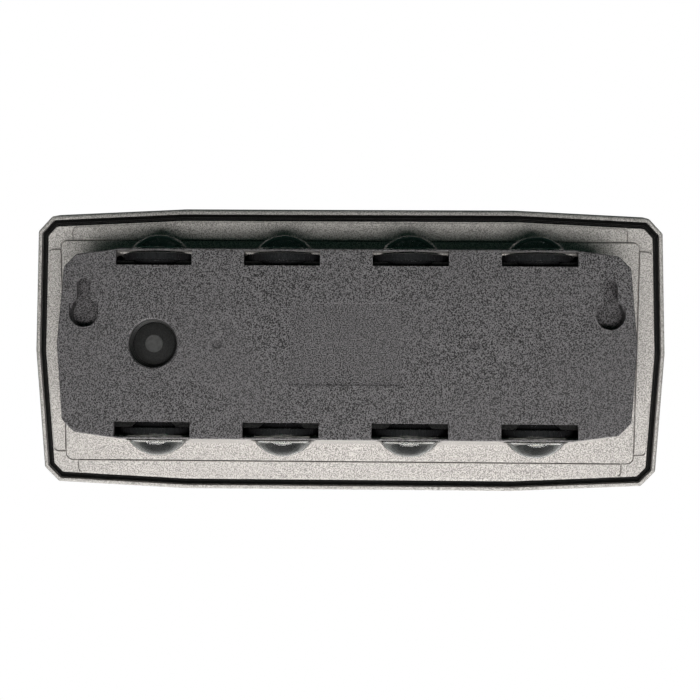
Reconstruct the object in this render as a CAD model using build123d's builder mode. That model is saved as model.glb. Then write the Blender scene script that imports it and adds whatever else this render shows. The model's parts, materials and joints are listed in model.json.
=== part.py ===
from build123d import *
import os
from math import cos, radians, sin

# Solar up-and-down wall light: a shallow box that hangs on two screws, carrying a wide framed solar panel
# that leans back towards the sky. Four dome lenses shine up the wall and four shine down it.
#
# Millimetres. +X is to the right seen from the front, +Z is up, and the panel faces -Y.
# The origin is the centre of the flat back, which lies against the wall in the plane Y = 0.
# "Depth" below means the distance forward from the wall, so a depth d is the plane Y = -d.

# ---------------------------------------------------------------- driving dimensions

LENS_PITCH = 40.0
LENS_COUNT = 4
LENS_DEPTH = 13.0
LENS_X = [LENS_PITCH * (i - (LENS_COUNT - 1) / 2) for i in range(LENS_COUNT)]

COVER_THICKNESS = 2.0
COVER_QUARTER = [(0, 29.65), (70, 29.65), (84.3, 27.7), (88.1, 23.8), (90.0, 0)]
COVER_CORNER = 1.6
COVER_BEVEL = 0.3

WALL_DRAFT = 3.5
INNER_QUARTER = [(0, 28.65), (72.2, 28.65), (82.9, 26.3), (85.9, 22.6), (87.7, 0)]
INNER_STEP = 0.95
INNER_STEP_DEPTH = 27.0

TILT = 10.0
PLATE_DEPTH = 35.28
PLATE_DROP = 1.18
BEZEL_QUARTER = [(0, 46.95), (55, 46.95), (98.4, 44.85), (103.1, 39.9), (105.0, 0)]
BEZEL_CORNER = 1.2
BEZEL_WALL = 1.25
BEZEL_DEPTH = 11.0
BEZEL_LIP = 6.5
BEZEL_FRONT_BEVEL = 0.9
BEZEL_INNER_BEVEL = 0.7
BEZEL_REAR_BEVEL = 0.5
GLUE_LINE = 0.1
SHELF_THICKNESS = 2.4
GASKET_TOP = 2.2
GASKET_LOW = 4.0
GASKET_BEAD = (0.5, 0.6)
GASKET_BEAD_GAP = 0.5
GROOVE = 2.2
FLANGE_THICKNESS = 2.6
SKIRT_LENGTH = 6.6
SKIRT_WALL = 1.6

BEYOND = 220.0
STEP_HEIGHT = 0.45
STEP_DRAFT = 15.0
PAD_EDGE = 0.4
PAD_CORNER = 1.5
PAD_HALF_LENGTH = 91.3
PAD_HALF_HEIGHT = 33.95
FIELD = (190.7, 73.8)
FIELD_CORNER = 2.1
FOOT_GROOVE = (0.45, 0.9)

WINDOW = (23.7, 4.7)
WINDOW_Z = 26.75

KEYHOLE_X = 81.75
KEYHOLE_HEAD_Z = 9.5
KEYHOLE_HEAD_R = 4.6
KEYHOLE_SHOULDER = 2.9
KEYHOLE_SLOT_R = 2.17
KEYHOLE_TOP_Z = 20.4
CUP_FLOOR = 7.2
CUP_SLIDE_R = 3.9
CUP_WALL = 1.2
CUP_PLAY = 0.15

LABEL = (34.0, 25.5)
LABEL_DEPTH = 0.3
DIMPLE_X = 40.0
DIMPLE_R = 1.65
DIMPLE_DEPTH = 0.65
DIMPLE_SLOPE = 42.0
NUB_R = 0.75
NUB_PIT_R = 0.25
NUB_TOP = 0.15

BUTTON_X = 60.0
BUTTON_HOLE_R = 7.6
BUTTON_HOLE_BEVEL = 0.4
RING_R = 8.8
RING_RIM = 0.9
RING_STEP = 3.0
RING_SLOPE_R = 7.45
RING_INNER_R = 6.8
RING_EDGE = 3.7
CAP_R = 6.5
CAP_TOP = 2.75
CAP_CENTRE_R = 2.75
CAP_STEP = 0.18
CAP_ENTRY = radians(4)
CAP_RIM = 3.95
CAP_FLANGE = (4.5, 4.9)
CAP_FLANGE_R = 7.6
STEM_R = 1.8

PLATE_TOP = 4.4
PLATE_THICKNESS = 1.6
PLATE_HALF_HEIGHT = 26.1
PLATE_HALF_LENGTH = 73.6
PLATE_PLAY = 0.35
PLATE_BUTTON_HOLE_R = 8.2

FLANGE_R = 11.55
FLANGE_PLAY = 0.05
FLANGE_LOW = 27.3
FLANGE_HIGH = 28.3
COLLAR_R = 10.3
COLLAR_HIGH = 30.2
SHOULDER_HIGH = 30.7
DOME_R = 11.45
DOME_TIP = 35.26
DOME_HOLE_R = 10.55
HOLDER_RIM_R = 11.95
HOLDER_RIM_LOW = 26.3
HOLDER_RIM_HIGH = 28.25

LED_BOARD_Z = 20.0
LED_BOARD_THICKNESS = 1.2
LED_BOARD_HALF_LENGTH = 75.6
LED_BOARD_WIDTH = 13.0
LED_SIDE = 3.5
LED_HEIGHT = 0.8
PHOSPHOR_R = 1.3
PHOSPHOR_THICKNESS = 0.2
HOLDER_APERTURE_R = 5.2
HOLDER_LEDGE = 0.5
HOLDER_FOOT_R = 6.6
HOLDER_NECK_R = 9.7
HOLDER_MOUTH_R = 10.6

CELL_R = 9.1
CELL_LENGTH = 64.6
CELL_X = -3.0
CELL_DEPTH = 17.2
WRAP_THICKNESS = 0.15

BOARD_DEPTH = 11.5
BOARD_THICKNESS = 1.2
BOARD_X = 58.0
BOARD_SIZE = (38.0, 34.0)

GLASS_TOP = 9.4
GLASS_THICKNESS = 0.9
GLUE_FILM = 0.1
SILICON_THICKNESS = 0.2
BACKBOARD_THICKNESS = 1.2
STRIP_COUNT = 12
STRIP = (14.8, 74.0)
STRIP_PITCH = 15.5
PANEL_PLAY = 0.15

LEAD_R = 0.65

os.makedirs("parts", exist_ok=True)


# ---------------------------------------------------------------- planes and shared shapes

def depth(d):
    """Plane at a distance d forward of the wall. Local x is X, local y is Z, and extrusions run forward."""
    return Plane.XZ.offset(d)


# The tilted plane of the flange's rear face. Local x is X, local y runs up the slope, local z runs forward.
TILTED = Plane(
    origin=(0, -PLATE_DEPTH, -PLATE_DROP),
    x_dir=(1, 0, 0),
    z_dir=(0, -cos(radians(TILT)), sin(radians(TILT))),
)


def tilted(forward):
    """Plane parallel to the flange, a distance forward of its rear face."""
    return TILTED.offset(forward)


def outline(quarter, inset=0.0, corner=0.0):
    """Closed face in local XY from the points of its upper right quarter, drawn in by inset, corners rounded."""
    with BuildSketch(mode=Mode.PRIVATE) as face:
        with BuildLine():
            Polyline(*quarter)
            mirror(about=Plane.YZ)
            mirror(about=Plane.XZ)
        make_face()
        if inset:
            offset(amount=-inset, kind=Kind.INTERSECTION)
        if corner:
            bends = [v for v in face.vertices() if abs(v.Y) > 1 and abs(v.X) > 75]
            fillet(bends, corner)
    return face.sketch


def bezel_outline(inset=0.0):
    return outline(BEZEL_QUARTER, inset, BEZEL_CORNER)


def cover_outline(inset=0.0):
    return outline(COVER_QUARTER, inset, COVER_CORNER)


def pad_end(v):
    """True at the outer corners of the four pads' ends, in the flange's own plane."""
    top_or_bottom = abs(abs(v.X) - PAD_HALF_LENGTH) < 0.1 and abs(v.Y) > PAD_HALF_HEIGHT + 1
    side = abs(abs(v.Y) - PAD_HALF_HEIGHT) < 0.1 and abs(v.X) > PAD_HALF_LENGTH + 1
    return top_or_bottom or side


def pad_outline(grow=0.0):
    """The cross-shaped pad that leaves the flange's corners low, grown outward by grow."""
    with BuildSketch(mode=Mode.PRIVATE) as pad:
        Rectangle(2 * PAD_HALF_LENGTH, BEYOND)
        Rectangle(BEYOND, 2 * PAD_HALF_HEIGHT)
        add(bezel_outline(BEZEL_WALL + GROOVE + PAD_EDGE), mode=Mode.INTERSECT)
        fillet([v for v in pad.vertices() if pad_end(v)], PAD_CORNER)
        if grow:
            offset(amount=grow, kind=Kind.INTERSECTION)
    return pad.sketch


def save(node, name):
    node.part.label = name
    export_step(node.part, f"parts/{name}.step")


# Each lens has a number, its X and its side: +1 shines up, -1 shines down.
LENSES = [(i + 1, x, 1) for i, x in enumerate(LENS_X)]
LENSES += [(i + 1 + LENS_COUNT, x, -1) for i, x in enumerate(LENS_X)]


def lens_plane(x, side):
    """Local x is the radius and local y runs outward along the lens's axis, for revolved profiles."""
    return Plane(origin=(x, -LENS_DEPTH, 0), x_dir=(1, 0, 0), z_dir=(0, -side, 0))


def lens_axis(x, side):
    return Axis((x, -LENS_DEPTH, 0), (0, 0, side))


# ---------------------------------------------------------------- rear cover

KEYHOLES = [KEYHOLE_X, -KEYHOLE_X]
slot_high = KEYHOLE_TOP_Z - KEYHOLE_SLOT_R
POST_PLACES = [(-70, 16), (-70, -16), (0, 18), (0, -18), (70, 16), (70, -16)]
POST_R = 2.5
PILOT_R = 0.9
PILOT_END = 1.1


def cup_outline(x, wall=0.0):
    """Inside of the cup behind the keyhole at x, or its outside a wall's thickness out."""
    with BuildSketch(mode=Mode.PRIVATE) as cup:
        for z, radius in ((KEYHOLE_HEAD_Z, KEYHOLE_HEAD_R), (slot_high, CUP_SLIDE_R)):
            with Locations((x, z)):
                Circle(radius + wall)
        with Locations((x, (KEYHOLE_HEAD_Z + slot_high) / 2)):
            Rectangle(2 * (CUP_SLIDE_R + wall), slot_high - KEYHOLE_HEAD_Z)
    return cup.sketch


with BuildPart() as rear_cover:
    with BuildSketch(depth(0)):
        add(cover_outline())
    extrude(amount=COVER_THICKNESS)
    chamfer(rear_cover.faces().sort_by(Axis.Y)[-1].outer_wire().edges(), COVER_BEVEL)
    # windows over the lens flanges
    with BuildSketch(depth(0)):
        with Locations(*[(x, side * WINDOW_Z) for _, x, side in LENSES]):
            Rectangle(*WINDOW)
    extrude(amount=COVER_THICKNESS, mode=Mode.SUBTRACT)
    # keyholes: a U-shaped head with flat shoulders, and a slot above it
    with BuildSketch(depth(0)):
        for x in KEYHOLES:
            with Locations((x, KEYHOLE_HEAD_Z)):
                Circle(KEYHOLE_HEAD_R)
            with Locations((x, KEYHOLE_HEAD_Z + KEYHOLE_SHOULDER / 2)):
                Rectangle(2 * KEYHOLE_HEAD_R, KEYHOLE_SHOULDER)
            with Locations((x, (KEYHOLE_HEAD_Z + slot_high) / 2)):
                Rectangle(2 * KEYHOLE_SLOT_R, slot_high - KEYHOLE_HEAD_Z)
            with Locations((x, slot_high)):
                Circle(KEYHOLE_SLOT_R)
    extrude(amount=COVER_THICKNESS, mode=Mode.SUBTRACT)
    # label recess
    with BuildSketch(depth(0)):
        Rectangle(*LABEL)
    extrude(amount=LABEL_DEPTH, mode=Mode.SUBTRACT)
    # gate dimples: a sloping wall round the nub that the moulding leaves, with a pit in the nub's tip
    with BuildSketch(depth(0)):
        with Locations((DIMPLE_X, 0), (-DIMPLE_X, 0)):
            Circle(DIMPLE_R)
    extrude(amount=DIMPLE_DEPTH, taper=DIMPLE_SLOPE, mode=Mode.SUBTRACT)
    with BuildSketch(depth(NUB_TOP)):
        with Locations((DIMPLE_X, 0), (-DIMPLE_X, 0)):
            Circle(NUB_R)
            Circle(NUB_PIT_R, mode=Mode.SUBTRACT)
    extrude(amount=COVER_THICKNESS / 2 - NUB_TOP)
    # posts that the service plate screws to
    with BuildSketch(depth(COVER_THICKNESS)):
        with Locations(*POST_PLACES):
            Circle(POST_R)
    extrude(amount=PLATE_TOP - COVER_THICKNESS)
    with BuildSketch(depth(PILOT_END)):
        with Locations(*POST_PLACES):
            Circle(PILOT_R)
    extrude(amount=PLATE_TOP - PILOT_END, mode=Mode.SUBTRACT)
    # a closed cup behind each keyhole, wide enough above the head for a screw head to slide up
    with BuildSketch(depth(COVER_THICKNESS)):
        for x in KEYHOLES:
            add(cup_outline(x, CUP_WALL))
        add(outline(INNER_QUARTER, CUP_PLAY), mode=Mode.INTERSECT)
    extrude(amount=CUP_FLOOR + CUP_WALL - COVER_THICKNESS)
    with BuildSketch(depth(COVER_THICKNESS)):
        for x in KEYHOLES:
            add(cup_outline(x))
    extrude(amount=CUP_FLOOR - COVER_THICKNESS, mode=Mode.SUBTRACT)
    # button hole
    with BuildSketch(depth(0)):
        with Locations((BUTTON_X, 0)):
            Circle(BUTTON_HOLE_R)
    extrude(amount=COVER_THICKNESS, mode=Mode.SUBTRACT)
    rim = rear_cover.edges().filter_by(GeomType.CIRCLE)
    rim = rim.filter_by(lambda e: abs(e.radius - BUTTON_HOLE_R) < 0.01).sort_by(Axis.Y)[-1]
    chamfer(rim, BUTTON_HOLE_BEVEL)
save(rear_cover, "rear_cover")

# ---------------------------------------------------------------- main housing

WALL_REACH = 46.0
WALL_FIT = 0.12
NOTCH_REACH = 7.0
RIB_X = (73.9, 75.3)
RIB_Z = (18.4, 28.6)
RIB_DEPTH = (LENS_DEPTH - LED_BOARD_WIDTH / 2, 30.0)
SLOT_PLAY = 0.05

# box walls, splaying forward, cut off level with the flange's front face
with BuildPart() as box_walls:
    with BuildSketch(depth(COVER_THICKNESS)):
        add(cover_outline(WALL_FIT))
    extrude(amount=WALL_REACH - COVER_THICKNESS, taper=-WALL_DRAFT)
    split(bisect_by=tilted(FLANGE_THICKNESS), keep=Keep.BOTTOM)

with BuildPart() as main_housing:
    # tilted flange, and the skirt round its front
    with BuildSketch(tilted(0)):
        add(bezel_outline(BEZEL_WALL + GROOVE))
    extrude(amount=FLANGE_THICKNESS)
    with BuildSketch(tilted(FLANGE_THICKNESS)):
        add(bezel_outline(BEZEL_WALL + GROOVE))
        add(bezel_outline(BEZEL_WALL + GROOVE + SKIRT_WALL), mode=Mode.SUBTRACT)
    extrude(amount=SKIRT_LENGTH - FLANGE_THICKNESS)
    # a cross-shaped pad one step up, its ends inside fine grooves, leaves the four corners low
    with BuildSketch(tilted(0)):
        add(pad_outline(FOOT_GROOVE[0]))
        add(pad_outline(), mode=Mode.SUBTRACT)
        add(bezel_outline(BEZEL_WALL + GROOVE + PAD_EDGE), mode=Mode.INTERSECT)
    extrude(amount=FOOT_GROOVE[1], mode=Mode.SUBTRACT)
    with BuildSketch(tilted(0)):
        add(pad_outline())
    extrude(amount=-STEP_HEIGHT, taper=STEP_DRAFT)
    # the rectangular field that the box stands on is another step up, inside a groove of its own
    with BuildSketch(tilted(-STEP_HEIGHT)):
        RectangleRounded(*[side + 2 * FOOT_GROOVE[0] for side in FIELD], FIELD_CORNER + FOOT_GROOVE[0])
        RectangleRounded(*FIELD, FIELD_CORNER, mode=Mode.SUBTRACT)
    extrude(amount=STEP_HEIGHT + FOOT_GROOVE[1], mode=Mode.SUBTRACT)
    with BuildSketch(tilted(-STEP_HEIGHT)):
        RectangleRounded(*FIELD, FIELD_CORNER)
    extrude(amount=-STEP_HEIGHT, taper=STEP_DRAFT)
    add(box_walls.part)
    # inside of the box: the long walls are flat within, so that the lens flanges seat on them
    with BuildSketch(depth(COVER_THICKNESS)):
        add(outline(INNER_QUARTER))
    extrude(amount=WALL_REACH, mode=Mode.SUBTRACT)
    with BuildSketch(depth(INNER_STEP_DEPTH)):
        add(outline(INNER_QUARTER, -INNER_STEP))
    extrude(amount=WALL_REACH, mode=Mode.SUBTRACT)
    # notches behind the cover's windows, and the holes that the domes look out of
    with BuildSketch(depth(COVER_THICKNESS)):
        with Locations(*[(x, side * WINDOW_Z) for _, x, side in LENSES]):
            Rectangle(*WINDOW)
    extrude(amount=NOTCH_REACH - COVER_THICKNESS, mode=Mode.SUBTRACT)
    for _, x, side in LENSES:
        seat = Plane(origin=(x, -LENS_DEPTH, side * FLANGE_HIGH), x_dir=(1, 0, 0), z_dir=(0, 0, side))
        with BuildSketch(seat):
            Circle(DOME_HOLE_R)
        extrude(amount=DOME_TIP - FLANGE_HIGH, mode=Mode.SUBTRACT)
    # slotted ribs that hold the ends of the two LED boards
    rib_middle = (sum(RIB_X) / 2, sum(RIB_Z) / 2)
    rib_places = [(sx * rib_middle[0], sz * rib_middle[1]) for sx in (-1, 1) for sz in (-1, 1)]
    with BuildSketch(depth(RIB_DEPTH[0])):
        with Locations(*rib_places):
            Rectangle(RIB_X[1] - RIB_X[0], RIB_Z[1] - RIB_Z[0])
    extrude(amount=RIB_DEPTH[1] - RIB_DEPTH[0])
    board_middle = LED_BOARD_Z + LED_BOARD_THICKNESS / 2
    with BuildSketch(depth(RIB_DEPTH[0])):
        with Locations((0, board_middle), (0, -board_middle)):
            Rectangle(2 * LED_BOARD_HALF_LENGTH + SLOT_PLAY, LED_BOARD_THICKNESS + SLOT_PLAY)
    extrude(amount=LED_BOARD_WIDTH, mode=Mode.SUBTRACT)
save(main_housing, "main_housing")

# ---------------------------------------------------------------- front bezel and gasket

with BuildPart() as front_bezel:
    with BuildSketch(tilted(0)):
        add(bezel_outline())
        add(bezel_outline(BEZEL_WALL), mode=Mode.SUBTRACT)
    extrude(amount=BEZEL_DEPTH)
    # shelf that closes the groove and is glued to the housing's skirt
    with BuildSketch(tilted(GASKET_LOW)):
        add(bezel_outline(BEZEL_WALL / 2))
        add(bezel_outline(BEZEL_WALL + GROOVE - GLUE_LINE), mode=Mode.SUBTRACT)
    extrude(amount=SHELF_THICKNESS)
    # lip over the edge of the glass
    with BuildSketch(tilted(GLASS_TOP)):
        add(bezel_outline(BEZEL_WALL / 2))
        add(bezel_outline(BEZEL_LIP), mode=Mode.SUBTRACT)
    extrude(amount=BEZEL_DEPTH - GLASS_TOP)
    forward = Axis(TILTED.origin, TILTED.z_dir)
    front_face = front_bezel.faces().sort_by(forward)[-1]
    chamfer(front_face.outer_wire().edges(), BEZEL_FRONT_BEVEL)
    front_face = front_bezel.faces().sort_by(forward)[-1]
    chamfer(front_face.inner_wires()[0].edges(), BEZEL_INNER_BEVEL)
    rear_face = front_bezel.faces().sort_by(forward)[0]
    chamfer(rear_face.outer_wire().edges(), BEZEL_REAR_BEVEL)
save(front_bezel, "front_bezel")

with BuildPart() as rim_gasket:
    with BuildSketch(tilted(GASKET_TOP)):
        add(bezel_outline(BEZEL_WALL))
        add(bezel_outline(BEZEL_WALL + GROOVE), mode=Mode.SUBTRACT)
    extrude(amount=GASKET_LOW - GASKET_TOP)
    with BuildSketch(tilted(GASKET_TOP - GASKET_BEAD[1])):
        add(bezel_outline(BEZEL_WALL + GROOVE - GASKET_BEAD[0] - GASKET_BEAD_GAP))
        add(bezel_outline(BEZEL_WALL + GROOVE - GASKET_BEAD_GAP), mode=Mode.SUBTRACT)
    extrude(amount=GASKET_BEAD[1])
save(rim_gasket, "rim_gasket")

# ---------------------------------------------------------------- solar panel

with BuildPart() as solar_glass:
    with BuildSketch(tilted(GLASS_TOP - GLASS_THICKNESS)):
        add(bezel_outline(BEZEL_WALL + PANEL_PLAY))
    extrude(amount=GLASS_THICKNESS)
save(solar_glass, "solar_glass")

cells_low = GLASS_TOP - GLASS_THICKNESS - GLUE_FILM - SILICON_THICKNESS
with BuildPart() as solar_cells:
    with BuildSketch(tilted(cells_low)):
        with GridLocations(STRIP_PITCH, 0, STRIP_COUNT, 1):
            Rectangle(*STRIP)
    extrude(amount=SILICON_THICKNESS)
save(solar_cells, "solar_cells")

backboard_low = cells_low - BACKBOARD_THICKNESS
with BuildPart() as solar_backboard:
    with BuildSketch(tilted(backboard_low)):
        add(bezel_outline(BEZEL_WALL + PANEL_PLAY))
    extrude(amount=BACKBOARD_THICKNESS)
save(solar_backboard, "solar_backboard")

with BuildPart() as panel_tape:
    with BuildSketch(tilted(SKIRT_LENGTH)):
        add(bezel_outline(BEZEL_WALL + GROOVE))
        add(bezel_outline(BEZEL_WALL + GROOVE + SKIRT_WALL), mode=Mode.SUBTRACT)
    extrude(amount=backboard_low - SKIRT_LENGTH)
save(panel_tape, "panel_tape")

# ---------------------------------------------------------------- service plate behind the cover

BOARD_SCREWS = [(BOARD_X + sx * 13, sz * 11) for sx in (-1, 1) for sz in (-1, 1)]
HOLDER_NOTCH = [(-2.7, 21.6), (2.7, 21.6), (7.3, 26.3), (-7.3, 26.3)]
POST_CLEARANCE_R = 1.05
STANDOFF_R = 2.3
STANDOFF_PILOT_R = 0.85
CRADLE_SCREWS = [(x, side * 13.4) for x in (-30, 24) for side in (-1, 1)]
CRADLE_PILOT_R = 0.8

with BuildPart() as service_plate:
    with BuildSketch(depth(PLATE_TOP)):
        add(outline(INNER_QUARTER, PLATE_PLAY))
        Rectangle(2 * PLATE_HALF_LENGTH, 2 * PLATE_HALF_HEIGHT, mode=Mode.INTERSECT)
        # clearance for the lens holders
        for _, x, side in LENSES:
            with BuildLine():
                Polyline(*[(x + u, side * v) for u, v in HOLDER_NOTCH], close=True)
            make_face(mode=Mode.SUBTRACT)
        with Locations(*POST_PLACES):
            Circle(POST_CLEARANCE_R, mode=Mode.SUBTRACT)
        with Locations(*CRADLE_SCREWS):
            Circle(CRADLE_PILOT_R, mode=Mode.SUBTRACT)
        with Locations((BUTTON_X, 0)):
            Circle(PLATE_BUTTON_HOLE_R, mode=Mode.SUBTRACT)
    extrude(amount=PLATE_THICKNESS)
    with BuildSketch(depth(PLATE_TOP + PLATE_THICKNESS)):
        with Locations(*BOARD_SCREWS):
            Circle(STANDOFF_R)
            Circle(STANDOFF_PILOT_R, mode=Mode.SUBTRACT)
    extrude(amount=BOARD_DEPTH - PLATE_TOP - PLATE_THICKNESS)
save(service_plate, "service_plate")

# ---------------------------------------------------------------- lenses, seals, holders, LEDs and their boards

dome_centre = DOME_TIP - DOME_R
shoulder_r = (DOME_R**2 - (SHOULDER_HIGH - dome_centre) ** 2) ** 0.5
dome_middle = (DOME_R * sin(radians(27)), dome_centre + DOME_R * cos(radians(27)))
board_top = LED_BOARD_Z + LED_BOARD_THICKNESS

for number, x, side in LENSES:
    with BuildPart() as lens:
        with BuildSketch(lens_plane(x, side)):
            with BuildLine():
                ThreePointArc((0, 28.7), (2.1, 28.35), (4, FLANGE_LOW))
                Polyline(
                    (4, FLANGE_LOW),
                    (FLANGE_R, FLANGE_LOW),
                    (FLANGE_R, FLANGE_HIGH),
                    (COLLAR_R, FLANGE_HIGH),
                    (COLLAR_R, COLLAR_HIGH),
                    (shoulder_r, SHOULDER_HIGH),
                )
                ThreePointArc((shoulder_r, SHOULDER_HIGH), dome_middle, (0, DOME_TIP))
                Line((0, DOME_TIP), (0, 28.7))
            make_face()
        revolve(axis=lens_axis(x, side))
    save(lens, f"lens_{number}")

    with BuildPart() as lens_holder:
        with BuildSketch(lens_plane(x, side)):
            with BuildLine():
                Polyline(
                    (HOLDER_APERTURE_R, board_top),
                    (HOLDER_FOOT_R, board_top),
                    (HOLDER_NECK_R, HOLDER_RIM_LOW - 0.2),
                    (HOLDER_NECK_R, HOLDER_RIM_LOW),
                    (HOLDER_RIM_R, HOLDER_RIM_LOW),
                    (HOLDER_RIM_R, HOLDER_RIM_HIGH),
                    (FLANGE_R + FLANGE_PLAY, HOLDER_RIM_HIGH),
                    (FLANGE_R + FLANGE_PLAY, FLANGE_LOW),
                    (HOLDER_MOUTH_R, FLANGE_LOW),
                    (HOLDER_APERTURE_R, board_top + HOLDER_LEDGE),
                    close=True,
                )
            make_face()
        revolve(axis=lens_axis(x, side))
    save(lens_holder, f"lens_holder_{number}")

    with BuildPart() as led:
        base = Plane(origin=(x, -LENS_DEPTH, side * board_top), x_dir=(1, 0, 0), z_dir=(0, 0, side))
        with BuildSketch(base):
            Rectangle(LED_SIDE, LED_SIDE)
        extrude(amount=LED_HEIGHT)
        chamfer(led.edges().filter_by(Axis.Z).sort_by(Axis.X)[-1], 0.5)
        with BuildSketch(base.offset(LED_HEIGHT)):
            Circle(PHOSPHOR_R)
        extrude(amount=-PHOSPHOR_THICKNESS, mode=Mode.SUBTRACT)
    save(led, f"led_{number}")

with BuildPart() as phosphor_discs:
    for _, x, side in LENSES:
        disc_low = side * (board_top + LED_HEIGHT - PHOSPHOR_THICKNESS)
        with BuildSketch(Plane(origin=(x, -LENS_DEPTH, disc_low), x_dir=(1, 0, 0), z_dir=(0, 0, side))):
            Circle(PHOSPHOR_R)
        extrude(amount=PHOSPHOR_THICKNESS)
save(phosphor_discs, "phosphor_discs")

with BuildPart() as lens_seals:
    for _, x, side in LENSES:
        seat = Plane(origin=(x, -LENS_DEPTH, side * FLANGE_HIGH), x_dir=(1, 0, 0), z_dir=(0, 0, side))
        with BuildSketch(seat):
            Circle(FLANGE_R)
            Circle(COLLAR_R + 0.15, mode=Mode.SUBTRACT)
        extrude(amount=INNER_QUARTER[0][1] - FLANGE_HIGH)
save(lens_seals, "lens_seals")

for name, side in (("led_board_top", 1), ("led_board_bottom", -1)):
    with BuildPart() as led_board:
        with BuildSketch(Plane.XY.offset(side * (LED_BOARD_Z + LED_BOARD_THICKNESS / 2))):
            with Locations((0, -LENS_DEPTH)):
                Rectangle(2 * LED_BOARD_HALF_LENGTH, LED_BOARD_WIDTH)
        extrude(amount=LED_BOARD_THICKNESS / 2, both=True)
    save(led_board, name)

# ---------------------------------------------------------------- button, its switch and the controller board

SWITCH_SIDE = 6.0
SWITCH_BACK = 8.3
PLUNGER_R = 1.7
PLUNGER_TIP = 7.0

button_axis = Axis((BUTTON_X, 0, 0), (0, 1, 0))
button_section = Plane(origin=(BUTTON_X, 0, 0), x_dir=(1, 0, 0), z_dir=(0, 0, 1))

# ring held between the cover and the service plate; its inner lip slopes down towards the cap
with BuildPart() as button_ring:
    with BuildSketch(button_section):
        with BuildLine():
            Polyline(
                (RING_R, -COVER_THICKNESS),
                (RING_R, -PLATE_TOP),
                (RING_INNER_R, -PLATE_TOP),
                (RING_INNER_R, -RING_EDGE),
                (RING_SLOPE_R, -RING_STEP),
                (RING_R - RING_RIM, -RING_STEP),
                (RING_R - RING_RIM, -COVER_THICKNESS),
                close=True,
            )
        make_face()
    revolve(axis=button_axis)
save(button_ring, "button_ring")

# rubber cap: a domed face with a flat centre, a flange that the ring holds in, and a stem to the switch
dome_start = (CAP_CENTRE_R, -CAP_TOP - CAP_STEP)
dome_end = (CAP_R, -CAP_RIM)
with BuildPart() as button_cap:
    with BuildSketch(button_section):
        with BuildLine():
            Polyline((0, -CAP_TOP), (CAP_CENTRE_R, -CAP_TOP), dome_start)
            TangentArc(dome_start, dome_end, tangent=(cos(CAP_ENTRY), -sin(CAP_ENTRY)))
            Polyline(
                dome_end,
                (CAP_R, -CAP_FLANGE[0]),
                (CAP_FLANGE_R, -CAP_FLANGE[0]),
                (CAP_FLANGE_R, -CAP_FLANGE[1]),
                (STEM_R, -CAP_FLANGE[1]),
                (STEM_R, -PLUNGER_TIP),
                (0, -PLUNGER_TIP),
                (0, -CAP_TOP),
            )
        make_face()
    revolve(axis=button_axis)
save(button_cap, "button_cap")

with BuildPart() as switch_plunger:
    with BuildSketch(depth(PLUNGER_TIP)):
        with Locations((BUTTON_X, 0)):
            Circle(PLUNGER_R)
    extrude(amount=2.8)
save(switch_plunger, "switch_plunger")

with BuildPart() as mode_switch:
    with BuildSketch(depth(SWITCH_BACK)):
        with Locations((BUTTON_X, 0)):
            Rectangle(SWITCH_SIDE, SWITCH_SIDE)
    extrude(amount=BOARD_DEPTH - SWITCH_BACK)
    with BuildSketch(depth(SWITCH_BACK)):
        with Locations((BUTTON_X, 0)):
            Circle(PLUNGER_R + 0.08)
    extrude(amount=3.0, mode=Mode.SUBTRACT)
save(mode_switch, "mode_switch")

board_front = BOARD_DEPTH + BOARD_THICKNESS

with BuildPart() as controller_board:
    with BuildSketch(depth(BOARD_DEPTH)):
        with Locations((BOARD_X, 0)):
            RectangleRounded(*BOARD_SIZE, 1.5)
        with Locations(*BOARD_SCREWS):
            Circle(1.0, mode=Mode.SUBTRACT)
    extrude(amount=BOARD_THICKNESS)
save(controller_board, "controller_board")

CHIP_PLACE = (59, -6)
with BuildPart() as control_chip:
    with BuildSketch(depth(board_front + 0.2)):
        with Locations(CHIP_PLACE):
            Rectangle(5.0, 3.9)
    extrude(amount=1.5)
    with BuildSketch(depth(board_front)):
        with Locations(CHIP_PLACE):
            with GridLocations(1.27, 0, 4, 1):
                Rectangle(0.4, 6.0)
    extrude(amount=0.5)
save(control_chip, "control_chip")

INDUCTOR_PLACE = (67, 2)
with BuildPart() as boost_inductor:
    with BuildSketch(depth(board_front)):
        with Locations(INDUCTOR_PLACE):
            RectangleRounded(6.0, 6.0, 1.2)
    extrude(amount=1.0)
    with BuildSketch(depth(board_front + 1.0)):
        with Locations(INDUCTOR_PLACE):
            Circle(2.6)
    extrude(amount=1.6)
    with BuildSketch(depth(board_front + 2.6)):
        with Locations(INDUCTOR_PLACE):
            Circle(2.9)
    extrude(amount=0.5)
save(boost_inductor, "boost_inductor")

CAPACITOR_PLACES = [(57, 9), (64, 11)]
with BuildPart() as filter_capacitors:
    with BuildSketch(depth(board_front)):
        with Locations(*CAPACITOR_PLACES):
            Circle(2.5)
    extrude(amount=6.5)
    tops = filter_capacitors.faces().sort_by(Axis.Y)[:2]
    chamfer(tops.edges(), 0.3)
save(filter_capacitors, "filter_capacitors")

SOCKET_X = (42.5, 49.5)
SOCKET_MIDDLE = 2.8
with BuildPart() as lead_socket:
    with BuildSketch(depth(board_front)):
        with Locations((sum(SOCKET_X) / 2, 0)):
            Rectangle(SOCKET_X[1] - SOCKET_X[0], 7.4)
    extrude(amount=5.6)
    with BuildSketch(Plane.YZ.offset(SOCKET_X[0])):
        with Locations((-board_front - SOCKET_MIDDLE, 1.5), (-board_front - SOCKET_MIDDLE, -1.5)):
            Circle(LEAD_R + 0.05)
    extrude(amount=3.0, mode=Mode.SUBTRACT)
save(lead_socket, "lead_socket")

# ---------------------------------------------------------------- battery

cell_ends = (CELL_X - CELL_LENGTH / 2, CELL_X + CELL_LENGTH / 2)


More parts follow.
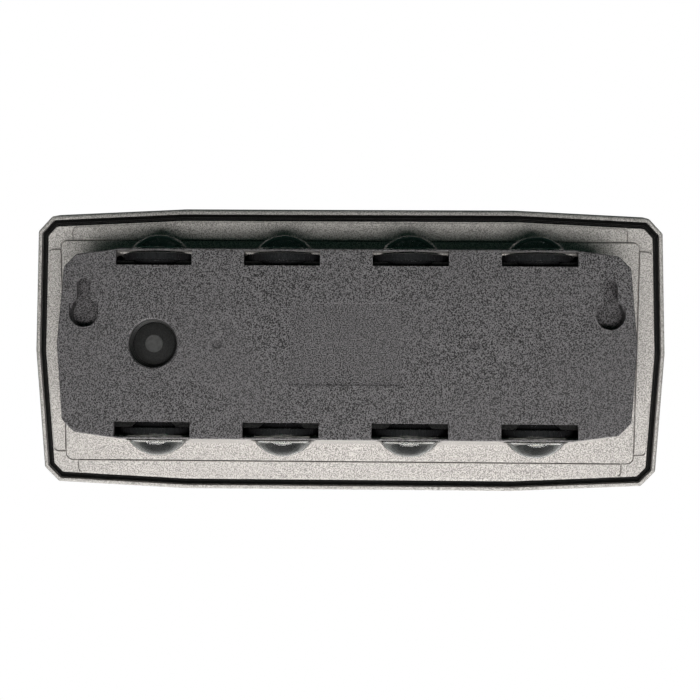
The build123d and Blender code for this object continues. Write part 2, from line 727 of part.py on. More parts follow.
def square_to_x(x):
    """Plane square to X at x, with its origin on the battery's axis and extrusions running towards +X."""
    return Plane(origin=(x, -CELL_DEPTH, 0), x_dir=(0, 1, 0), z_dir=(1, 0, 0))


with BuildPart() as battery_cell:
    with BuildSketch(square_to_x(cell_ends[0])):
        Circle(CELL_R)
    extrude(amount=CELL_LENGTH)
    chamfer(battery_cell.edges().filter_by(GeomType.CIRCLE), 0.5)
    with BuildSketch(square_to_x(cell_ends[1])):
        Circle(2.9)
    extrude(amount=1.5)
save(battery_cell, "battery_cell")

with BuildPart() as battery_wrap:
    with BuildSketch(square_to_x(cell_ends[0] + 0.5)):
        Circle(CELL_R + WRAP_THICKNESS)
        Circle(CELL_R, mode=Mode.SUBTRACT)
    extrude(amount=CELL_LENGTH - 1.0)
save(battery_wrap, "battery_wrap")

CRADLE_X = (-38.8, 33.8)
CRADLE_FLOOR = (PLATE_TOP + PLATE_THICKNESS, 7.6)
CRADLE_HALF_WIDTH = 11.0
with BuildPart() as battery_cradle:
    cradle_middle = sum(CRADLE_X) / 2
    cradle_length = CRADLE_X[1] - CRADLE_X[0]
    with BuildSketch(depth(CRADLE_FLOOR[0])):
        with Locations((cradle_middle, 0)):
            Rectangle(cradle_length, 2 * CRADLE_HALF_WIDTH)
        for x, z in CRADLE_SCREWS:
            with Locations((x, z)):
                Circle(2.5)
            with Locations((x, z * 0.9)):
                Rectangle(5.0, abs(z) * 0.2)
        with Locations(*CRADLE_SCREWS):
            Circle(1.0, mode=Mode.SUBTRACT)
    extrude(amount=CRADLE_FLOOR[1] - CRADLE_FLOOR[0])
    # side rails and end walls
    with BuildSketch(depth(CRADLE_FLOOR[1])):
        with Locations((cradle_middle, 0)):
            Rectangle(cradle_length, 2 * CRADLE_HALF_WIDTH)
            Rectangle(cradle_length - 3.0, 2 * CRADLE_HALF_WIDTH - 2.8, mode=Mode.SUBTRACT)
    extrude(amount=9.0)
    # the leads pass through a slot in each end wall
    with BuildSketch(depth(CELL_DEPTH - 1.2)):
        with Locations((cradle_middle, 0)):
            Rectangle(cradle_length, 3.0)
    extrude(amount=5.0, mode=Mode.SUBTRACT)
    # room for the round cell between the rails
    with BuildSketch(square_to_x(cell_ends[0] - 0.2)):
        Circle(CELL_R + WRAP_THICKNESS + 0.05)
    extrude(amount=CELL_LENGTH + 0.4, mode=Mode.SUBTRACT)
save(battery_cradle, "battery_cradle")


# ---------------------------------------------------------------- leads: straight runs joined by tangent arcs

def lead(name, routes, radius=2.0):
    """One node of round leads, each along its route."""
    with BuildPart() as leads:
        for route in routes:
            with BuildLine() as path:
                FilletPolyline(*route, radius=radius)
            start = Vector(*route[0])
            with BuildSketch(Plane(origin=start, z_dir=Vector(*route[1]) - start)):
                Circle(LEAD_R)
            sweep(path=path.wires()[0])
    save(leads, name)


socket_mouth = SOCKET_X[0]
pin_y = -board_front - SOCKET_MIDDLE
nub = cell_ends[1] + 1.5
lead("battery_lead_positive", [[
    (nub, -CELL_DEPTH, 0),
    (35.5, -CELL_DEPTH, 0),
    (38.5, pin_y, -1.5),
    (socket_mouth + 3.0, pin_y, -1.5),
]])
lead("battery_lead_negative", [[
    (cell_ends[0], -CELL_DEPTH, 0),
    (-42.5, -CELL_DEPTH, 0),
    (-42.5, -CELL_DEPTH, 13.5),
    (36.5, pin_y, 13.5),
    (36.5, pin_y, 1.5),
    (socket_mouth + 3.0, pin_y, 1.5),
]])


def panel_route(x_board, x_panel):
    """From the front of the controller board to the back of the solar panel."""
    landing = TILTED.from_local_coords((x_panel, 12, backboard_low))
    above = TILTED.from_local_coords((x_panel, 12, backboard_low - 7))
    return [(x_board, -board_front, -12), (x_board, -24, -12), tuple(above), tuple(landing)]


lead("panel_lead_positive", [panel_route(63, 56)])
lead("panel_lead_negative", [panel_route(67, 60)])
lead("led_leads", [
    [(x, -board_front, side * 14), (x, -17.4, side * 14), (x, -17.4, side * LED_BOARD_Z)]
    for x in (46, 49.5)
    for side in (-1, 1)
])


# ---------------------------------------------------------------- screws

def screws(name, places, seat, head_r, head_height, shank_r, shank_length):
    """Cross-recess pan-head screws whose heads bear on the plane at depth seat and point forward."""
    with BuildPart() as group:
        with BuildSketch(depth(seat)):
            with Locations(*places):
                Circle(head_r)
        extrude(amount=head_height)
        tops = group.faces().sort_by(Axis.Y)[: len(places)]
        chamfer(tops.edges(), head_height * 0.3)
        with BuildSketch(depth(seat + head_height)):
            with Locations(*places):
                Rectangle(head_r * 1.1, 0.35)
                Rectangle(0.35, head_r * 1.1)
        extrude(amount=-head_height * 0.5, mode=Mode.SUBTRACT)
        with BuildSketch(depth(seat)):
            with Locations(*places):
                Circle(shank_r)
        extrude(amount=-shank_length)
    save(group, name)


screws("service_plate_screws", POST_PLACES, PLATE_TOP + PLATE_THICKNESS, 1.9, 1.2, 0.85, 4.6)
screws("controller_screws", BOARD_SCREWS, board_front, 1.7, 1.1, 0.8, 5.6)
screws("cradle_screws", CRADLE_SCREWS, CRADLE_FLOOR[1], 1.6, 1.0, 0.75, 3.0)
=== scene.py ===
import json
import math

import bmesh
import bpy
from mathutils import Matrix, Vector


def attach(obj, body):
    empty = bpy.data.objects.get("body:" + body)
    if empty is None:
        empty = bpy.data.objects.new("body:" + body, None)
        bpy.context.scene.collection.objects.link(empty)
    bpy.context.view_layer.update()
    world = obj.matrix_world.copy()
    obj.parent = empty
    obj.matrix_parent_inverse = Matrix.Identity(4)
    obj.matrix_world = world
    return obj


# Solar up-and-down wall light, seen from behind. Metres, in the model's own frame: +X to the right seen
# from the front, +Z up, the panel facing -Y, and the wall in the plane Y = 0.

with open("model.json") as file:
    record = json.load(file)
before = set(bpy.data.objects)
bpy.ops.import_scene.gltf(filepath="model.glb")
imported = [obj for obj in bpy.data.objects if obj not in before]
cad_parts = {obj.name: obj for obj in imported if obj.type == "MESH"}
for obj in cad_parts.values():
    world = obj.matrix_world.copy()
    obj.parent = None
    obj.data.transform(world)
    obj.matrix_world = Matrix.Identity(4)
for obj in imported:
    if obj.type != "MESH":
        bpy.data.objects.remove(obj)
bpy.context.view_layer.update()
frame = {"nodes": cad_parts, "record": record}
nodes = frame["nodes"]
scene = bpy.context.scene

MM = 0.001


# ---------------------------------------------------------------- materials: a small kit

# Noise fades out where a face lies on one of its lattice planes, so every place is moved off them.
OFF_LATTICE = (0.0137, 0.0071, 0.0213)


class Recipe:
    """A material whose colour, roughness and relief come from nodes, with short ways to add them."""

    def __init__(self, name):
        self.material = bpy.data.materials.new(name)
        self.material.use_nodes = True
        self.tree = self.material.node_tree
        self.shader = self.tree.nodes["Principled BSDF"]
        place = self.add("ShaderNodeMapping")
        place.inputs["Location"].default_value = OFF_LATTICE
        self.put(place.inputs["Vector"], self.add("ShaderNodeTexCoord").outputs["Object"])
        self.place = place.outputs["Vector"]
        self.normal = None

    def add(self, kind, **settings):
        node = self.tree.nodes.new(kind)
        for key, value in settings.items():
            setattr(node, key, value)
        return node

    def put(self, socket, value):
        """Sets a socket to a number or colour, or links it to another node's output."""
        if isinstance(value, bpy.types.NodeSocket):
            self.tree.links.new(value, socket)
        else:
            socket.default_value = value

    def set(self, **values):
        """Sets the shader's sockets, named with underscores for spaces."""
        for key, value in values.items():
            self.put(self.shader.inputs[key.replace("_", " ")], value)

    def noise(self, size_mm, detail=2.0, rough=0.5, stretch=None):
        """Smooth noise from 0 to 1 whose features are about size_mm across."""
        node = self.add("ShaderNodeTexNoise")
        node.inputs["Scale"].default_value = 1.0 / (size_mm * MM)
        node.inputs["Detail"].default_value = detail
        node.inputs["Roughness"].default_value = rough
        self.put(node.inputs["Vector"], self.stretched(self.place, stretch))
        return node.outputs["Fac"]

    def cells(self, size_mm):
        """Voronoi distance: rounded pits or bumps about size_mm apart."""
        node = self.add("ShaderNodeTexVoronoi", feature="F1")
        node.inputs["Scale"].default_value = 1.0 / (size_mm * MM)
        self.put(node.inputs["Vector"], self.place)
        return node.outputs["Distance"]

    def stretched(self, place, stretch):
        if stretch is None:
            return place
        node = self.add("ShaderNodeMapping")
        self.put(node.inputs["Vector"], place)
        node.inputs["Scale"].default_value = stretch
        return node.outputs["Vector"]

    def turned(self, angle):
        """The place, turned about X so that Z runs up a slope that leans back by that angle."""
        node = self.add("ShaderNodeMapping")
        self.put(node.inputs["Vector"], self.place)
        node.inputs["Rotation"].default_value = (angle, 0, 0)
        return node.outputs["Vector"]

    def axis(self, name, place=None):
        node = self.add("ShaderNodeSeparateXYZ")
        self.put(node.inputs["Vector"], place or self.place)
        return node.outputs[name]

    def range(self, value, low, high, to_low=0.0, to_high=1.0):
        """Maps low..high to to_low..to_high, held at the ends."""
        node = self.add("ShaderNodeMapRange")
        self.put(node.inputs["Value"], value)
        for key, number in (("From Min", low), ("From Max", high), ("To Min", to_low), ("To Max", to_high)):
            node.inputs[key].default_value = number
        return node.outputs["Result"]

    def math(self, operation, a, b=0.0):
        node = self.add("ShaderNodeMath", operation=operation)
        self.put(node.inputs[0], a)
        self.put(node.inputs[1], b)
        return node.outputs["Value"]

    def mix(self, share, a, b):
        """Colour a where share is 0, b where it is 1."""
        node = self.add("ShaderNodeMix", data_type="RGBA")
        self.put(node.inputs["Factor"], share)
        self.put(node.inputs["A"], a)
        self.put(node.inputs["B"], b)
        return node.outputs["Result"]

    def rounded(self, radius_mm):
        """A normal that rounds every edge off by that radius."""
        node = self.add("ShaderNodeBevel", samples=6)
        node.inputs["Radius"].default_value = radius_mm * MM
        return node.outputs["Normal"]

    def edges(self, radius_mm):
        """1 on edges, 0 on open faces: how far the rounded normal leaves the face's own."""
        true_normal = self.add("ShaderNodeNewGeometry").outputs["Normal"]
        dot = self.add("ShaderNodeVectorMath", operation="DOT_PRODUCT")
        self.put(dot.inputs[0], self.rounded(radius_mm))
        self.put(dot.inputs[1], true_normal)
        return self.range(dot.outputs["Value"], 0.98, 0.8)

    def relief(self, height, depth_mm):
        """Adds bump over whatever relief there is already."""
        node = self.add("ShaderNodeBump")
        node.inputs["Distance"].default_value = depth_mm * MM
        node.inputs["Strength"].default_value = 1.0
        self.put(node.inputs["Height"], height)
        if self.normal is not None:
            self.put(node.inputs["Normal"], self.normal)
        self.normal = node.outputs["Normal"]
        self.put(self.shader.inputs["Normal"], self.normal)


def shade(colour, factor):
    """The colour made lighter or darker, as an RGBA tuple."""
    return tuple(min(1.0, c * factor) for c in colour[:3]) + (1.0,)


def moulded(
    name,
    colour,
    rough=0.5,
    grain_mm=0.46,
    grain_depth_mm=0.05,
    spread=0.45,
    edge_wear_and_highlight=0.35,
    round_mm=0.3,
    gloss=0.5,
):
    """Injection-moulded plastic with a spark-eroded grain painted with sparkle, faint flow clouds, and edges
    painted lighter: partly rubbed wear, partly a painted highlight.
    """
    r = Recipe(name)
    grain = r.noise(grain_mm, detail=1.0, rough=0.5)
    cloud = r.noise(28.0, detail=2.0)
    # The grain's colour swings lighter and darker: partly its own tone, partly a painted sparkle where its
    # peaks catch the light.
    grain_tone_and_sparkle = r.mix(r.range(grain, 0.4, 0.6), shade(colour, 1 - spread), shade(colour, 1 + spread))
    clouded = r.mix(r.range(cloud, 0.3, 0.7, 0.0, 0.3), grain_tone_and_sparkle, shade(colour, 1.12))
    # Edges are painted lighter: partly rubbed wear, partly a painted highlight along them.
    edge = r.math("MULTIPLY", r.edges(round_mm), r.range(r.noise(1.4, detail=3.0), 0.4, 0.62, 0.1, 1.0))
    r.set(Base_Color=r.mix(r.math("MULTIPLY", edge, edge_wear_and_highlight), clouded, shade(colour, 2.2)))
    r.set(Roughness=r.range(grain, 0.3, 0.7, rough + 0.08, rough - 0.08))
    r.set(IOR=1.49, Specular_IOR_Level=gloss)
    r.normal = r.rounded(round_mm)
    r.relief(grain, grain_depth_mm)
    return r.material


def rubber(name, colour, rough=0.7, grain_mm=0.3, gloss=0.5, paler_share=0.0):
    """Matt rubber: a dusty bloom over very fine pores, with its edges painted paler as a painted highlight.
    """
    r = Recipe(name)
    pores = r.noise(grain_mm, detail=3.0, rough=0.65)
    bloom = r.noise(3.0, detail=4.0, rough=0.6)
    dusted = r.mix(r.range(bloom, 0.45, 0.7, 0.0, 0.5), shade(colour, 0.85), shade(colour, 1.7))
    # The last argument paints the edges paler: a painted highlight along them.
    r.set(Base_Color=r.mix(r.math("MULTIPLY", r.edges(0.2), paler_share), dusted, (0.1, 0.098, 0.095, 1.0)))
    r.set(Roughness=r.range(pores, 0.3, 0.7, rough - 0.1, rough + 0.1))
    r.set(Specular_IOR_Level=gloss)
    r.normal = r.rounded(0.15)
    r.relief(pores, 0.012)
    return r.material


def pressed_rubber(name, colour, middle, pad_mm, rough=0.5):
    """Rubber button: darker towards its rim, with a paler, patchy centre pad."""
    r = Recipe(name)
    pores = r.noise(0.4, detail=3.0, rough=0.65)
    across = r.math("SUBTRACT", r.axis("X"), middle[0] + OFF_LATTICE[0])
    upward = r.math("SUBTRACT", r.axis("Z"), middle[2] + OFF_LATTICE[2])
    square = r.math("ADD", r.math("MULTIPLY", across, across), r.math("MULTIPLY", upward, upward))
    reach = r.math("SQRT", square)
    paler_share = r.range(reach, pad_mm * 0.95 * MM, pad_mm * 1.05 * MM, 1.0, 0.0)
    patchy = r.math("MULTIPLY", paler_share, r.range(r.noise(1.2, detail=3.0), 0.35, 0.65, 0.6, 1.0))
    body = r.mix(r.range(pores, 0.4, 0.6), shade(colour, 0.6), shade(colour, 1.4))
    r.set(Base_Color=r.mix(patchy, body, shade(colour, 3.6)))
    r.set(Roughness=r.range(pores, 0.3, 0.7, rough - 0.1, rough + 0.1))
    r.set(Specular_IOR_Level=0.3)
    r.normal = r.rounded(0.15)
    r.relief(pores, 0.012)
    return r.material


def polished(name, colour, rough=0.25, waviness=0.01):
    """Smooth glossy moulding with faint waviness and hairline scuffs."""
    r = Recipe(name)
    wave = r.noise(2.5, detail=2.0)
    scuff = r.noise(0.8, detail=4.0, rough=0.7, stretch=(1.0, 1.0, 0.12))
    r.set(Base_Color=r.mix(r.range(wave, 0.3, 0.7), shade(colour, 0.88), shade(colour, 1.12)))
    r.set(Roughness=r.range(scuff, 0.45, 0.75, rough, rough + 0.2))
    r.normal = r.rounded(0.12)
    r.relief(wave, waviness)
    return r.material


def clear(name, ior, tint, rough, wave_mm, wave_depth_mm):
    """Clear moulding or glass: nearly smooth, with faint waves and a little dust in its polish."""
    r = Recipe(name)
    wave = r.noise(wave_mm, detail=2.0)
    dust = r.noise(0.5, detail=4.0, rough=0.7)
    r.set(Base_Color=r.mix(r.range(dust, 0.55, 0.75), shade(tint, 1.0), shade(tint, 0.92)))
    r.set(Roughness=r.range(dust, 0.5, 0.75, rough, rough + 0.06))
    r.set(Transmission_Weight=1.0, IOR=ior)
    r.relief(wave, wave_depth_mm)
    return r.material


def metal(name, colour, rough=0.3, grain=(1.0, 1.0, 0.05)):
    """Bare or plated metal with a drawn grain, small scratches and a little tarnish."""
    r = Recipe(name)
    drawn = r.noise(0.25, detail=3.0, rough=0.6, stretch=grain)
    tarnish = r.noise(2.0, detail=4.0, rough=0.6)
    r.set(Base_Color=r.mix(r.range(tarnish, 0.45, 0.75), shade(colour, 1.0), shade(colour, 0.7)))
    r.set(Roughness=r.range(drawn, 0.3, 0.7, rough - 0.08, rough + 0.12))
    r.set(Metallic=1.0)
    r.normal = r.rounded(0.1)
    r.relief(drawn, 0.004)
    return r.material


def solder_resist(name, colour):
    """Circuit board: glossy resist over copper tracks, with the glass weave just showing."""
    r = Recipe(name)
    tracks = r.add("ShaderNodeTexBrick", offset=0.37, squash=1.6)
    tracks.inputs["Scale"].default_value = 1.0 / (9.0 * MM)
    tracks.inputs["Mortar Size"].default_value = 0.03
    tracks.inputs["Color1"].default_value = (0, 0, 0, 1)
    tracks.inputs["Color2"].default_value = (0, 0, 0, 1)
    tracks.inputs["Mortar"].default_value = (1, 1, 1, 1)
    r.put(tracks.inputs["Vector"], r.place)
    weave = r.noise(0.35, detail=2.0)
    copper = r.mix(tracks.outputs["Color"], shade(colour, 0.8), shade(colour, 1.7))
    r.set(Base_Color=r.mix(r.range(weave, 0.4, 0.7, 0.0, 0.4), copper, shade(colour, 1.3)))
    r.set(Roughness=r.range(weave, 0.3, 0.7, 0.22, 0.36))
    r.set(Coat_Weight=0.4, Coat_Roughness=0.12)
    r.relief(tracks.outputs["Color"], 0.03)
    r.relief(weave, 0.006)
    return r.material


def silicon(name, tilt):
    """Solar cells: blue-black, anti-reflection coated, in large crystals that catch the light differently."""
    r = Recipe(name)
    face = r.turned(tilt)
    crystal = r.add("ShaderNodeTexVoronoi", feature="F1")
    crystal.inputs["Scale"].default_value = 1.0 / (4.0 * MM)
    r.put(crystal.inputs["Vector"], face)
    tone = r.axis("X", crystal.outputs["Color"])
    grain = r.noise(0.2, detail=2.0)
    blue = r.mix(tone, (0.004, 0.008, 0.03, 1), (0.012, 0.028, 0.10, 1))
    r.set(Base_Color=r.mix(r.range(grain, 0.4, 0.7, 0.0, 0.3), blue, (0.02, 0.03, 0.07, 1)))
    r.set(Roughness=r.range(tone, 0.0, 1.0, 0.22, 0.4))
    r.set(Coat_Weight=0.6, Coat_Roughness=0.1)
    r.relief(grain, 0.004)
    return r.material


def foam(name, colour):
    """Closed-cell foam tape: rounded cells cut through at the surface."""
    r = Recipe(name)
    pore = r.cells(0.5)
    r.set(Base_Color=r.mix(r.range(pore, 0.1, 0.6), shade(colour, 0.5), shade(colour, 1.3)))
    r.set(Roughness=r.range(pore, 0.0, 0.7, 0.95, 0.8))
    r.relief(pore, 0.12)
    return r.material


def laminate(name, colour):
    """Backboard: dark glass-fibre laminate with its plain weave showing through."""
    r = Recipe(name)
    warp = r.noise(0.5, detail=1.0, stretch=(1.0, 0.1, 0.1))
    weft = r.noise(0.5, detail=1.0, stretch=(0.1, 1.0, 1.0))
    weave = r.math("MULTIPLY", warp, weft)
    r.set(Base_Color=r.mix(r.range(weave, 0.15, 0.4), shade(colour, 0.7), shade(colour, 1.5)))
    r.set(Roughness=r.range(weave, 0.1, 0.4, 0.45, 0.65))
    r.relief(weave, 0.02)
    return r.material


def sleeve(name, colour):
    """Shrink sleeve: glossy film with fine lengthways wrinkles."""
    r = Recipe(name)
    wrinkle = r.noise(1.2, detail=3.0, stretch=(0.15, 1.0, 1.0))
    r.set(Base_Color=r.mix(r.range(wrinkle, 0.3, 0.7), shade(colour, 0.85), shade(colour, 1.15)))
    r.set(Roughness=r.range(wrinkle, 0.3, 0.7, 0.22, 0.38))
    r.relief(wrinkle, 0.05)
    return r.material


def glowing_powder(name, colour):
    """Phosphor: yellow powder set in clear silicone."""
    r = Recipe(name)
    speck = r.noise(0.12, detail=3.0, rough=0.7)
    r.set(Base_Color=r.mix(r.range(speck, 0.4, 0.65), shade(colour, 0.75), shade(colour, 1.15)))
    r.set(Roughness=r.range(speck, 0.3, 0.7, 0.25, 0.4))
    r.set(Subsurface_Weight=0.2, Subsurface_Scale=0.0004)
    r.relief(speck, 0.01)
    return r.material


# ---------------------------------------------------------------- materials: one for each slot

# The panel leans back by TILT, and the button cap has a raised pad of radius CAP_PAD_R mm.
TILT = math.radians(10)
CAP_PAD_R = 2.75
cap_points = [vert.co for vert in nodes["button_cap"].data.vertices]
cap_middle = [(max(p[i] for p in cap_points) + min(p[i] for p in cap_points)) / 2 for i in range(3)]
FINISHES = {
    "cover_plastic": moulded(
        "cover_plastic", (0.077, 0.074, 0.077), rough=0.48, grain_mm=0.36, grain_depth_mm=0.07, spread=0.95,
        edge_wear_and_highlight=0.9, round_mm=0.16, gloss=0.3,
    ),
    # The housing and bezel are given a much lighter grey than the cover: a painted sheen for the glare the
    # same dark plastic catches under the key light.
    "housing_plastic": moulded(
        "housing_plastic", (0.325, 0.31, 0.298), rough=0.42, grain_mm=0.36, grain_depth_mm=0.05, spread=0.5,
    ),
    "bezel_plastic": moulded("bezel_plastic", (0.28, 0.27, 0.26), rough=0.42, grain_depth_mm=0.06),
    # The gasket is near black: its own black rubber, darkened further as painted shade in its groove; its
    # edges are painted paler as a painted highlight.
    "gasket_rubber": rubber("gasket_rubber", (0.005, 0.005, 0.005), rough=0.85, gloss=0.12, paler_share=0.8),
    "seal_rubber": rubber("seal_rubber", (0.03, 0.03, 0.03)),
    # The inner plastic is near black: its own dark colour, darkened further as painted shade for the shadowed
    # deck seen through the windows.
    "inner_plastic": moulded(
        "inner_plastic", (0.012, 0.012, 0.012), grain_depth_mm=0.04, spread=0.6, gloss=0.2,
    ),
    "lens_clear": clear("lens_clear", 1.52, (0.97, 0.985, 0.975), 0.02, 3.0, 0.006),
    "holder_plastic": polished("holder_plastic", (0.012, 0.012, 0.013)),
    "led_package": polished("led_package", (0.8, 0.8, 0.76), rough=0.35),
    "phosphor": glowing_powder("phosphor", (0.85, 0.72, 0.12)),
    "circuit_board": solder_resist("circuit_board", (0.02, 0.20, 0.09)),
    "ring_plastic": moulded(
        "ring_plastic", (0.02, 0.02, 0.02), rough=0.35, grain_depth_mm=0.004, spread=0.1, edge_wear_and_highlight=1.0,
        round_mm=0.15,
    ),
    "button_rubber": pressed_rubber("button_rubber", (0.016, 0.016, 0.016), cap_middle, CAP_PAD_R),
    "plunger_plastic": polished("plunger_plastic", (0.12, 0.12, 0.12)),
    "switch_plastic": polished("switch_plastic", (0.03, 0.03, 0.03), rough=0.3),
    "chip_plastic": moulded("chip_plastic", (0.03, 0.03, 0.03), grain_mm=0.12, grain_depth_mm=0.01),
    "ferrite": moulded("ferrite", (0.08, 0.08, 0.085), grain_mm=0.2, grain_depth_mm=0.015),
    "capacitor_can": metal("capacitor_can", (0.8, 0.8, 0.82), rough=0.25),
    "socket_plastic": polished("socket_plastic", (0.82, 0.8, 0.72), rough=0.35),
    "panel_glass": clear("panel_glass", 1.5, (0.96, 0.98, 0.98), 0.015, 12.0, 0.004),
    "silicon": silicon("silicon", TILT),
    "backboard": laminate("backboard", (0.02, 0.02, 0.022)),
    "foam_tape": foam("foam_tape", (0.1, 0.1, 0.1)),
    "cell_steel": metal("cell_steel", (0.62, 0.6, 0.58), grain=(0.05, 1.0, 1.0)),
    "cell_wrap": sleeve("cell_wrap", (0.04, 0.18, 0.42)),
    "cradle_plastic": moulded("cradle_plastic", (0.05, 0.05, 0.05), grain_depth_mm=0.01),
    "red_lead": polished("red_lead", (0.5, 0.02, 0.02), rough=0.35),
    "black_lead": polished("black_lead", (0.02, 0.02, 0.02), rough=0.35),
    "white_lead": polished("white_lead", (0.78, 0.78, 0.75), rough=0.35),
    "screw_steel": metal("screw_steel", (0.6, 0.6, 0.6), grain=(1.0, 0.1, 1.0)),
}

for row in frame["record"]["subparts"]:
    node = nodes[row["node"]]
    node.data.materials.clear()
    node.data.materials.append(FINISHES[row["material_slot"]])


# ---------------------------------------------------------------- ribbons and fingers on the solar cells

def make_piece(name, bm, material_slot):
    """A finished mesh piece that takes one of the finishes and rides on the light's body."""
    mesh = bpy.data.meshes.new(name)
    bmesh.ops.recalc_face_normals(bm, faces=bm.faces)
    bm.to_mesh(mesh)
    bm.free()
    mesh.materials.append(FINISHES[material_slot])
    piece = bpy.data.objects.new(name, mesh)
    scene.collection.objects.link(piece)
    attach(piece, "light")
    return piece


def add_bar(bm, frame_of, place, size, bevel):
    """A bevelled bar of that size centred at a place, both in mm in the local frame."""
    bar = bmesh.ops.create_cube(bm, size=1.0)
    for vert in bar["verts"]:
        vert.co = Vector([vert.co[i] * size[i] + place[i] for i in range(3)]) * MM
    edges = {edge for vert in bar["verts"] for edge in vert.link_edges}
    done = bmesh.ops.bevel(bm, geom=list(edges), offset=bevel * MM, segments=2, profile=0.6, affect="EDGES")
    verts = {vert for face in done["faces"] for vert in face.verts} | {v for v in bar["verts"] if v.is_valid}
    for vert in verts:
        vert.co = frame_of @ vert.co


# Local frame of the cells' front: x is X, y runs up the slope and z forward, as on the part's tilted plane.
forward = Vector((0, -math.cos(TILT), math.sin(TILT)))
up_slope = Vector((0, math.sin(TILT), math.cos(TILT)))
cell_corners = [nodes["solar_cells"].matrix_world @ v.co for v in nodes["solar_cells"].data.vertices]
front_reach = max(corner.dot(forward) for corner in cell_corners)
slope_reach = [corner.dot(up_slope) for corner in cell_corners]
slope_middle = (max(slope_reach) + min(slope_reach)) / 2
SLOPE = Matrix((
    (1, 0, 0, 0),
    (0, up_slope.y, forward.y, forward.y * front_reach + up_slope.y * slope_middle),
    (0, up_slope.z, forward.z, forward.z * front_reach + up_slope.z * slope_middle),
    (0, 0, 0, 1),
))

STRIP_COUNT = 12
STRIP_PITCH = 15.5
STRIP_WIDTH = 14.8
STRIP_HEIGHT = 74.0
STRIP_MARGIN = 0.6
RIBBON = (1.2, STRIP_HEIGHT - STRIP_MARGIN, 0.05)
RIBBON_BEVEL = 0.012
FINGER = (STRIP_WIDTH - STRIP_MARGIN, 0.1, 0.014)
FINGER_BEVEL = 0.004
FINGER_PITCH = 1.95
FINGER_COUNT = 37
strip_places = [STRIP_PITCH * (i - (STRIP_COUNT - 1) / 2) for i in range(STRIP_COUNT)]

for number, x in enumerate(strip_places, start=1):
    bm = bmesh.new()
    add_bar(bm, SLOPE, (x, 0, RIBBON[2] / 2 + FINGER[2]), RIBBON, RIBBON_BEVEL)
    make_piece(f"cell_ribbon_{number}", bm, "capacitor_can")
    bm = bmesh.new()
    for row in range(FINGER_COUNT):
        y = FINGER_PITCH * (row - (FINGER_COUNT - 1) / 2)
        add_bar(bm, SLOPE, (x, y, FINGER[2] / 2), FINGER, FINGER_BEVEL)
    make_piece(f"cell_fingers_{number}", bm, "capacitor_can")


# ---------------------------------------------------------------- camera, floor and light

def rot_towards(direction, roll_degrees=0.0):
    """Turns an object's -Z axis to a direction, with Z up, then rolls it about that axis."""
    aim = Vector(direction).to_track_quat("-Z", "Y")
    return aim @ Matrix.Rotation(math.radians(roll_degrees), 4, "Z").to_quaternion()


# The camera stands behind the light, 0.45 m from the wall face and a little below its middle.
CAMERA_PLACE = (-0.01312, 0.44861, -0.01899)
CAMERA_AIM = (-0.00137, 0.0, -0.00175)
CAMERA_ROLL_DEGREES = 0.42
SENSOR_MM = 36.0
FOCAL_LENGTH_MM = 74.62

camera = bpy.data.objects.new("camera", bpy.data.cameras.new("camera"))
scene.collection.objects.link(camera)
camera.location = CAMERA_PLACE
camera.rotation_mode = "QUATERNION"
camera.rotation_quaternion = rot_towards(Vector(CAMERA_AIM) - camera.location, CAMERA_ROLL_DEGREES)
camera.data.sensor_width = SENSOR_MM
camera.data.lens = FOCAL_LENGTH_MM
camera.data.clip_start = 0.01
camera.data.clip_end = 20.0
scene.camera = camera


def softbox(name, place, aim, size, power, colour=(1.0, 1.0, 1.0), mirrored=True):
    """A rectangular area light that faces a point. Unless mirrored, glass and gloss don't show it."""
    lamp = bpy.data.lights.new(name, "AREA")
    lamp.shape = "RECTANGLE"
    lamp.size, lamp.size_y = size
    lamp.energy = power
    lamp.color = colour
    holder = bpy.data.objects.new(name, lamp)
    scene.collection.objects.link(holder)
    holder.location = place
    holder.rotation_mode = "QUATERNION"
    holder.rotation_quaternion = rot_towards(Vector(aim) - Vector(place))
    holder.visible_camera = False
    holder.visible_glossy = mirrored
    holder.visible_transmission = mirrored


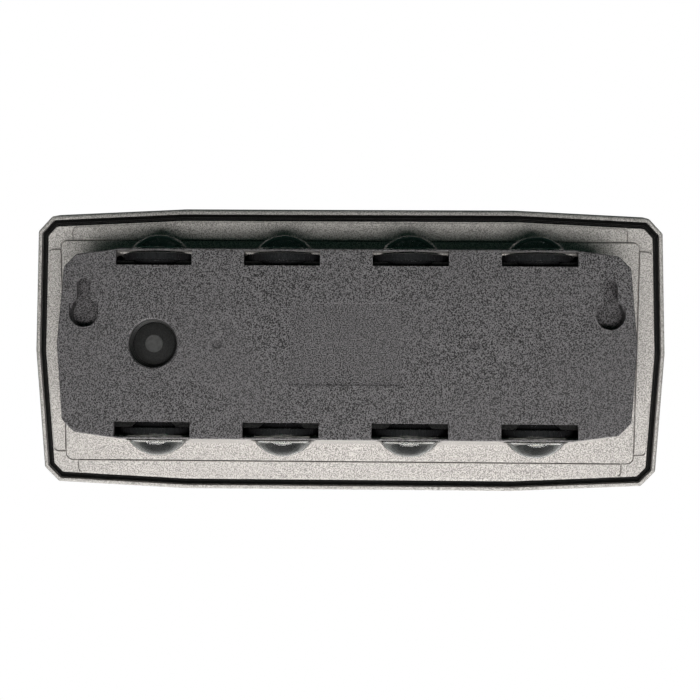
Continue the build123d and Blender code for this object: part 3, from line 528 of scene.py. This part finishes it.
# The key light stands below and behind. It is two lights in one place: most of its power leaves
# no reflection, and the rest gives the small glints.
KEY_PLACE = (-0.06, 0.95, -0.32)
KEY_SIZE = (0.6, 0.30)
KEY_COLOUR = (1.0, 0.985, 0.965)
softbox("rear_low_softbox", KEY_PLACE, (0, 0, 0), KEY_SIZE, 13.5, KEY_COLOUR, mirrored=False)
softbox("rear_glint_softbox", KEY_PLACE, (0, 0, 0), KEY_SIZE, 1.2, KEY_COLOUR)
softbox("under_softbox", (0.0, 0.10, -0.33), (0, -0.01, 0), (0.5, 0.2), 1.6, (1.0, 0.98, 0.96))
softbox("top_softbox", (0.0, -0.10, 0.8), (0, -0.02, 0), (1.2, 0.5), 0.3, mirrored=False)
softbox("front_low_softbox", (0.0, -1.0, -0.35), (0, 0, 0), (1.6, 0.6), 1.0)
softbox("front_softbox", (-0.45, -0.95, 0.12), (0, 0, 0), (0.6, 0.4), 9.0, mirrored=False)

# A weak, slightly green fill lights the model. The backdrop itself is white.
FILL_COLOUR = (0.42, 1.0, 0.8, 1)
FILL_STRENGTH = 0.035
world = bpy.data.worlds.new("studio")
world.use_nodes = True
scene.world = world
sky = world.node_tree
sky_out = sky.nodes["World Output"]
fill = sky.nodes["Background"]
fill.inputs["Color"].default_value = FILL_COLOUR
fill.inputs["Strength"].default_value = FILL_STRENGTH
seen = sky.nodes.new("ShaderNodeBackground")
seen.inputs["Color"].default_value = (1, 1, 1, 1)
seen.inputs["Strength"].default_value = 1.0
ray = sky.nodes.new("ShaderNodeLightPath")
pick = sky.nodes.new("ShaderNodeMixShader")
sky.links.new(ray.outputs["Is Camera Ray"], pick.inputs["Fac"])
sky.links.new(fill.outputs["Background"], pick.inputs[1])
sky.links.new(seen.outputs["Background"], pick.inputs[2])
sky.links.new(pick.outputs["Shader"], sky_out.inputs["Surface"])
scene.view_settings.view_transform = "Standard"

# A pale floor, clear of the light and below the camera's view of it.
FLOOR_Z = -0.36
FLOOR_MIDDLE_Y = 0.12
FLOOR_HALF_WIDTH = 1.2
FLOOR_CELLS = 24
bm = bmesh.new()
bmesh.ops.create_grid(bm, x_segments=FLOOR_CELLS, y_segments=FLOOR_CELLS, size=1.0)
for vert in bm.verts:
    vert.co = Vector((vert.co.x * FLOOR_HALF_WIDTH, FLOOR_MIDDLE_Y + vert.co.y, FLOOR_Z))
floor_mesh = bpy.data.meshes.new("floor")
bm.to_mesh(floor_mesh)
bm.free()
floor_finish = Recipe("floor")
floor_cloud = floor_finish.noise(120.0, detail=2.0)
floor_finish.set(Base_Color=floor_finish.mix(floor_cloud, (0.82, 0.82, 0.82, 1), (0.78, 0.78, 0.78, 1)))
floor_finish.set(Roughness=0.85, Emission_Color=(1.0, 0.99, 0.97, 1.0), Emission_Strength=0.25)
floor_mesh.materials.append(floor_finish.material)
floor = bpy.data.objects.new("floor", floor_mesh)
scene.collection.objects.link(floor)
